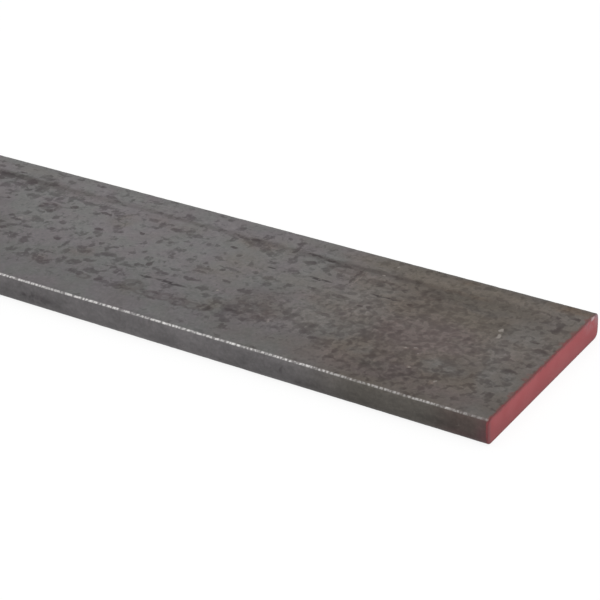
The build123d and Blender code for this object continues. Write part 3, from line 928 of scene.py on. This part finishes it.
def paint_colour(nodes, scale):
    """The red paint, darker along its rims from thin paint and from painted shade, with painted shade
    towards its bottom, rubbed thin beside the far corner, and a painted highlight there.
    """
    place = scale.place
    _, across, height = nodes.parts(scale.where)
    patchy = nodes.noise(place, 5, seed=17, detail=3.0)
    red = nodes.mix(nodes.rise(patchy, 0.35, 0.65), PAINT_RED, PAINT_LIGHT)
    # painted shade: darker towards the bottom of the end
    red = nodes.scaled(red, nodes.rise(height, *PAINT_SHADED_BELOW, 0.84, 1.04))
    red = nodes.scaled(red, nodes.rise(across, *PAINT_LIGHT_TO, 0.92, 1.0))
    rubbed = nodes.product(nodes.rise(across, *PAINT_RUBBED), nodes.rise(height, *RUBBED_HIGH))
    rubbed = nodes.product(rubbed, nodes.rise(nodes.noise(place, 1.0, seed=26, detail=3.0), 0.3, 0.6))
    red = nodes.mix(rubbed, red, PAINT_WORN)
    ragged = nodes.swing(nodes.noise(place, 1.3, seed=29, detail=3.0), 1.2)
    to_upper = nodes.minus(ragged, height)
    to_lower = nodes.total(height, THICKNESS / MM)
    to_near = nodes.minus(2 * HALF_WIDTH / MM, across)
    # darker along the rims: partly thin paint, partly painted shade
    for distance, reach, shade in (
        (to_upper, UPPER_RIM_REACH, UPPER_RIM_SHADE),
        (to_lower, LOWER_RIM_REACH, LOWER_RIM_SHADE),
        (to_near, NEAR_RIM_REACH, NEAR_RIM_SHADE),
        (across, FAR_RIM_REACH, FAR_RIM_SHADE),
    ):
        rim = nodes.rise(distance, reach, RIM_FULL)
        red = nodes.vector("MULTIPLY", red, nodes.mix(rim, WHITE, shade))
    below = nodes.product(height, -1.0)
    on_end = nodes.add("ShaderNodeCombineXYZ", {0: across, 1: below})
    # painted highlight near the far upper corner of the paint
    return nodes.mix(nodes.rise(nearest(nodes, on_end, RIM_GLINTS), 1.3, 0.5), red, PAINT_GLINT)


def cut_colour(nodes, scale, lines):
    """The plain end: bare steel with the fine lines of the saw, dulled in patches and along its rims."""
    height = nodes.parts(scale.where)[2]
    dulled = nodes.rise(nodes.noise(scale.place, 4, seed=33, detail=3.0), 0.35, 0.70)
    to_rim = nodes.smallest(nodes.product(height, -1.0), nodes.total(height, THICKNESS / MM))
    dulled = nodes.largest(dulled, nodes.rise(to_rim, 0.7, 0.1))
    return varied(nodes, nodes.mix(dulled, CUT_BRIGHT, CUT_DULL), lines, 0.84, 1.12)


def arris_wear_and_glint(nodes, scale, along):
    """How much the scale is rubbed off the arrises, in beads, mostly on the near side and less near the
    painted end: partly wear, partly a painted highlight, as the bare steel is laid where the near arris
    shines.
    """
    beads = nodes.noise(scale.place, 0.5, seed=15, stretch=(1.0, 0.5, 0.5))
    stretches = nodes.noise(scale.place, 6, seed=23, stretch=(1.0, 0.1, 0.1))
    near_side = nodes.rise(scale.facing_y, 0.0, -0.3, 0.2, 1.0)
    past_end = nodes.rise(along, *ARRIS_BRIGHT_FROM, 0.54, 1.0)
    bright = nodes.product(past_end, nodes.rise(along, *ARRIS_BEGINS, 0.5, 1.0))
    rubbed = nodes.product(nodes.rise(stretches, 0.3, 0.6, 0.7, 1.0), bright)
    return nodes.product(nodes.rise(beads, 0.38, 0.62, 0.14, 0.92), scale.arris, rubbed, near_side)


def behind_paint(nodes, scale, along):
    """Distance behind the ragged edge of the paint, which wraps a little further round the near side."""
    ragged = nodes.swing(nodes.noise(scale.place, 1.2, seed=16, detail=3.0), 1.2)
    wrapped = nodes.rise(scale.facing_y, -0.3, -0.8, 0.0, 0.30)
    return nodes.minus(nodes.minus(along, ragged), wrapped)


def paint_runs(nodes, scale, behind, across):
    """How much the scale behind the paint is stained by it."""
    reach = nodes.rise(nodes.noise(scale.place, 2.2, seed=35), 0.51, 0.67, 0.75, 2.0)
    stained = nodes.product(nodes.rise(behind, reach, 0.1), nodes.between(scale.on_wide, 0.2, 0.85))
    return nodes.product(stained, nodes.rise(across, *RUN_PAINT_FROM, 0.3, 1.0))


def finish(nodes, scale, paint, worn, cut):
    """How metallic and how rough the surface is."""
    clean = nodes.minus(1.0, paint)
    bare = nodes.largest(worn, cut)
    metallic = nodes.product(nodes.between(bare, SCALE_METALLIC, 1.0), clean)
    dullness = nodes.total(SCALE_ROUGHNESS, nodes.product(scale.blotches, BLOTCH_ROUGHNESS))
    roughness = nodes.between(bare, dullness, STEEL_ROUGHNESS)
    return metallic, nodes.between(paint, roughness, PAINT_ROUGHNESS)


def fine_relief(nodes, scale, cut, lines):
    """The relief that is finer than the mesh, and the lines of the saw, as bump."""
    depth = nodes.total(
        nodes.product(scale.blotches, BLOTCH_BUMP),
        nodes.product(scale.seam, SEAM_BUMP),
        nodes.product(scale.scores, SCORE_BUMP),
        nodes.product(nodes.noise(scale.place, 0.35, seed=18), GRAIN_BUMP),
        nodes.product(cut, lines, SAW_BUMP),
    )
    return nodes.add("ShaderNodeBump", {"Height": depth, "Distance": MM, "Strength": 1.0})


def steel_material():
    """Mill scale with worn arrises and nicks, painted shade and a painted highlight, the painted end and the
    plain one.
    """
    material = bpy.data.materials.new("hot-rolled steel")
    nodes = emptied(material)
    place = nodes.scaled(nodes.add("ShaderNodeTexCoord", output="Object"), 1 / MM)
    scale = Scale(nodes, place, nodes.add("ShaderNodeTexCoord", output="Normal"))
    along, across, _ = nodes.parts(scale.where)
    colour = scale_colour(nodes, scale)
    colour = nodes.mix(nodes.product(scale.nicks, 0.8), colour, NICK_GREY)
    worn = arris_wear_and_glint(nodes, scale, along)
    colour = nodes.mix(worn, colour, BARE_STEEL)
    behind = behind_paint(nodes, scale, along)
    colour = nodes.mix(paint_runs(nodes, scale, behind, across), colour, PAINT_STAIN)
    painted_end = nodes.rise(along, *PAINTED_END)
    paint = nodes.largest(nodes.rise(behind, 0.14, 0.0), nodes.product(scale.on_end, painted_end))
    cut = nodes.minus(scale.on_end, nodes.product(scale.on_end, painted_end))
    lines = nodes.noise(place, 0.4, seed=34, stretch=(1.0, 0.03, 1.0))
    colour = nodes.mix(cut, colour, cut_colour(nodes, scale, lines))
    colour = nodes.mix(paint, colour, paint_colour(nodes, scale))
    metallic, roughness = finish(nodes, scale, paint, worn, cut)
    nodes.show(nodes.add("ShaderNodeBsdfPrincipled", {
        "Base Color": colour,
        "Metallic": metallic,
        "Roughness": roughness,
        "Normal": fine_relief(nodes, scale, cut, lines),
        "Specular IOR Level": SPECULAR_LEVEL,
    }))
    return material


# ======== stage

FLOOR_REACH = 6.0
FLOOR_SHADE = (0.80, 0.80, 0.80, 1.0)
WHITE_LIGHT = (1.0, 1.0, 1.0, 1.0)
FLOOR_GLOW = 1.08  # of the white that the camera and reflections see in the floor
GLOW_SHARE = 0.8  # of that white, beside the floor that takes light and shadow
ROOM_GLOW = 0.55  # of the room on the bar and the floor
SKY_GLOW = 1.0  # of the room as the camera and reflections see it
SOFTBOXES = (  # name, place, what it faces, side in metres, watts
    ("overhead", (0.3, 0.0, 1.6), (0.3, 0.0, 0.0), 1.4, 8),
    ("front fill", (1.3, -1.2, 1.1), (0.4, 0.0, 0.0), 1.0, 8),
)


def seen_directly(nodes):
    """1 for rays from the camera and for their mirrored and transmitted paths."""
    path = nodes.tree.nodes.new("ShaderNodeLightPath")
    ways = [path.outputs[name] for name in ("Is Camera Ray", "Is Glossy Ray", "Is Transmission Ray")]
    return nodes.largest(*ways)


def floor_material():
    material = bpy.data.materials.new("pale floor")
    nodes = emptied(material)
    plain = nodes.add("ShaderNodeBsdfDiffuse", {"Color": FLOOR_SHADE})
    white = nodes.add("ShaderNodeEmission", {"Color": WHITE_LIGHT, "Strength": FLOOR_GLOW})
    share = nodes.product(seen_directly(nodes), GLOW_SHARE)
    nodes.show(nodes.add("ShaderNodeMixShader", {0: share, 1: plain, 2: white}))
    return material


def add_floor():
    mesh = bpy.data.meshes.new("floor")
    side = FLOOR_REACH
    corners = [(-side, -side, 0), (side, -side, 0), (side, side, 0), (-side, side, 0)]
    mesh.from_pydata(corners, [], [(0, 1, 2, 3)])
    mesh.materials.append(floor_material())
    floor = new_object("floor", mesh)


def add_world():
    world = bpy.data.worlds.new("studio")
    bpy.context.scene.world = world
    nodes = emptied(world)
    room = nodes.add("ShaderNodeBackground", {"Color": WHITE_LIGHT, "Strength": ROOM_GLOW})
    white = nodes.add("ShaderNodeBackground", {"Color": WHITE_LIGHT, "Strength": SKY_GLOW})
    shown = nodes.add("ShaderNodeMixShader", {0: seen_directly(nodes), 1: room, 2: white})
    nodes.show(shown, "ShaderNodeOutputWorld")


def add_softbox(name, place, target, side, watts):
    lamp = bpy.data.lights.new(name, "AREA")
    lamp.shape = "SQUARE"
    lamp.size = side
    lamp.energy = watts
    light = new_object(name, lamp)
    light.location = place
    light.rotation_mode = "QUATERNION"
    light.rotation_quaternion = (Vector(target) - Vector(place)).to_track_quat("-Z", "Y")


def add_camera():
    """The camera, turned about the near lower corner of the painted end and moved so that it frames it."""
    azimuth, elevation = VIEW_AZIMUTH, VIEW_ELEVATION
    level = Vector((math.cos(azimuth), math.sin(azimuth), 0))
    outward = Vector((math.sin(azimuth), -math.cos(azimuth), 0))
    back = outward * math.cos(elevation) + Vector((0, 0, math.sin(elevation)))
    upright = back.cross(level)
    right = level * math.cos(VIEW_ROLL) + upright * math.sin(VIEW_ROLL)
    up = back.cross(right)
    corner = Vector((HALF_LENGTH, -HALF_WIDTH, 0))
    place = corner + right * MIDDLE_RIGHT + up * MIDDLE_UP + back * VIEW_DISTANCE
    camera = bpy.data.cameras.new("camera")
    camera.lens = LENS_MM
    camera.sensor_width = SENSOR_MM
    holder = new_object("camera", camera)
    holder.matrix_world = Matrix.Translation(place) @ Matrix((right, up, back)).transposed().to_4x4()
    bpy.context.scene.camera = holder


# ======== the scene

add_camera()
add_world()
add_floor()
for softbox in SOFTBOXES:
    add_softbox(*softbox)

bar = BarMesh().build("steel_bar")
bar.data.materials.append(steel_material())
add_relief(bar)
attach(bar, "root")
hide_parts(NODE)

bpy.context.scene.view_settings.view_transform = "Standard"
